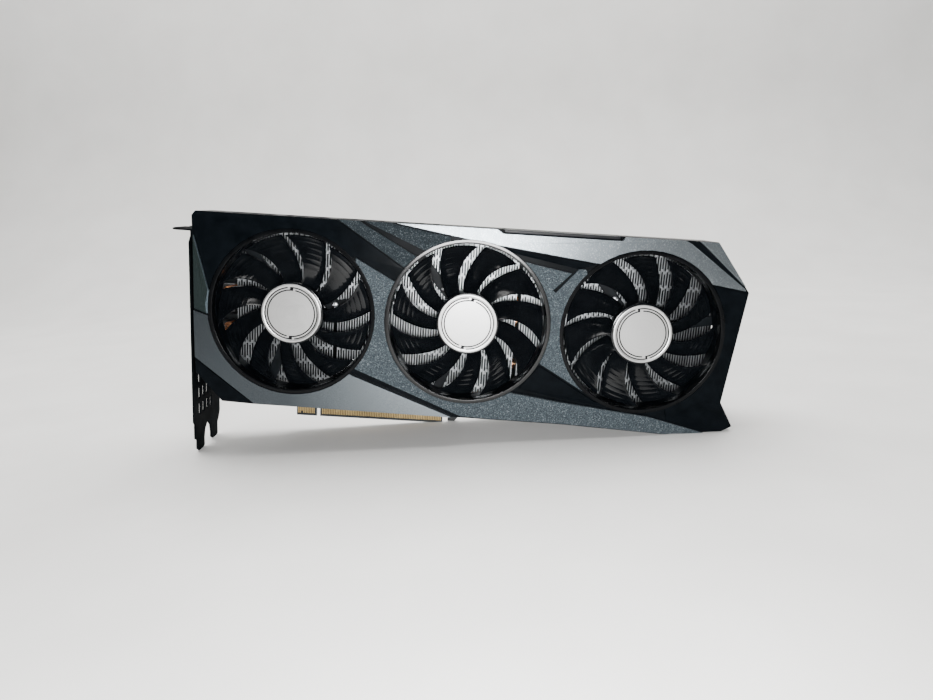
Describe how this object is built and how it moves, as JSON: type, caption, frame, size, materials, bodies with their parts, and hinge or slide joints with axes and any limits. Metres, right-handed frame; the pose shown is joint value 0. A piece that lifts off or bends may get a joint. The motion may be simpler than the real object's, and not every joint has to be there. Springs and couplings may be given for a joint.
{
  "type": "graphics card",
  "caption": "Long dual-slot graphics card with round axial fans in a faceted shroud, a finned heatsink, a vented backplate and a slotted I/O bracket.",
  "frame": {"origin": "middle of the bottom face of the long edge-connector tongue, in the middle of the circuit board's thickness", "axes": "+X along the card from the I/O bracket to the tail, +Z from the edge connector to the top edge, and the fans face -Y"},
  "size_m": [0.2964, 0.0492, 0.1296],
  "materials": {
    "shroud_plastic": "fine satin texture",
    "panel_black": "smooth satin",
    "panel_speckled": "coarse speckled grain with small bright flecks",
    "silver_accent": "silver-grey metallic paint, satin",
    "fan_plastic": "high gloss, ribbed blades",
    "carrier_plastic": "moulded, satin",
    "cap_metal": "brushed disc with thin dark rings",
    "steel": "bright",
    "fin_aluminium": "bare stamped fins",
    "copper": null,
    "board": "black solder mask, satin",
    "gold": null,
    "chip_package": "moulded package",
    "socket_plastic": "black nylon",
    "bracket_metal": "black powder coat",
    "backplate_metal": "fine black textured coat",
    "light_bar_lens": "smoked lens, unlit"
  },
  "bodies": {
    "card": {"shroud": "shroud_plastic", "light_bar": "light_bar_lens", "accent_top": "silver_accent", "accent_corner": "silver_accent", "accent_lower": "silver_accent", "panel_left": "panel_black", "trim_left": "panel_speckled", "band_upper": "panel_speckled", "band_top": "panel_speckled", "trim_upper": "panel_black", "panel_center_right": "panel_speckled", "panel_center_left": "panel_speckled", "panel_center_lower": "panel_black", "panel_right": "panel_black", "panel_lower_left": "panel_black", "fan_stator_left": "copper", "fan_carrier_left": "carrier_plastic", "fan_stator_middle": "copper", "fan_carrier_middle": "carrier_plastic", "fan_stator_right": "copper", "fan_carrier_right": "carrier_plastic", "fin_stack_left": "fin_aluminium", "fin_stack_middle": "fin_aluminium", "fin_stack_right": "fin_aluminium", "heat_pipe_1": "copper", "heat_pipe_2": "copper", "heat_pipe_3": "copper", "heat_pipe_4": "copper", "heat_pipe_5": "copper", "cold_plate": "copper", "gpu_package": "chip_package", "circuit_board": "board", "contacts_front": "gold", "contacts_back": "gold", "memory_row": "chip_package", "power_socket_8": "socket_plastic", "power_socket_6": "socket_plastic", "video_port_1": "steel", "video_port_2": "steel", "video_port_3": "steel", "video_port_4": "steel", "io_bracket": "bracket_metal", "backplate": "backplate_metal", "cooler_screw_1": "steel", "cooler_screw_2": "steel", "cooler_screw_3": "steel", "cooler_screw_4": "steel", "backplate_screw_1": "steel", "backplate_screw_2": "steel", "backplate_screw_3": "steel", "backplate_screw_4": "steel"},
    "fan_left": {"fan_rotor_left": "fan_plastic", "fan_cap_left": "cap_metal", "fan_shaft_left": "steel"},
    "fan_middle": {"fan_rotor_middle": "fan_plastic", "fan_cap_middle": "cap_metal", "fan_shaft_middle": "steel"},
    "fan_right": {"fan_rotor_right": "fan_plastic", "fan_cap_right": "cap_metal", "fan_shaft_right": "steel"}
  },
  "joints": [
    {"name": "fan_left_spin", "type": "hinge", "parent": "card", "child": "fan_left", "pos_m": [-0.0425, -0.0368, 0.0672], "axis": [0, -1, 0], "continuous": true},
    {"name": "fan_middle_spin", "type": "hinge", "parent": "card", "child": "fan_middle", "pos_m": [0.0465, -0.0368, 0.0672], "axis": [0, -1, 0], "continuous": true},
    {"name": "fan_right_spin", "type": "hinge", "parent": "card", "child": "fan_right", "pos_m": [0.1355, -0.0368, 0.0672], "axis": [0, -1, 0], "continuous": true}
  ]
}
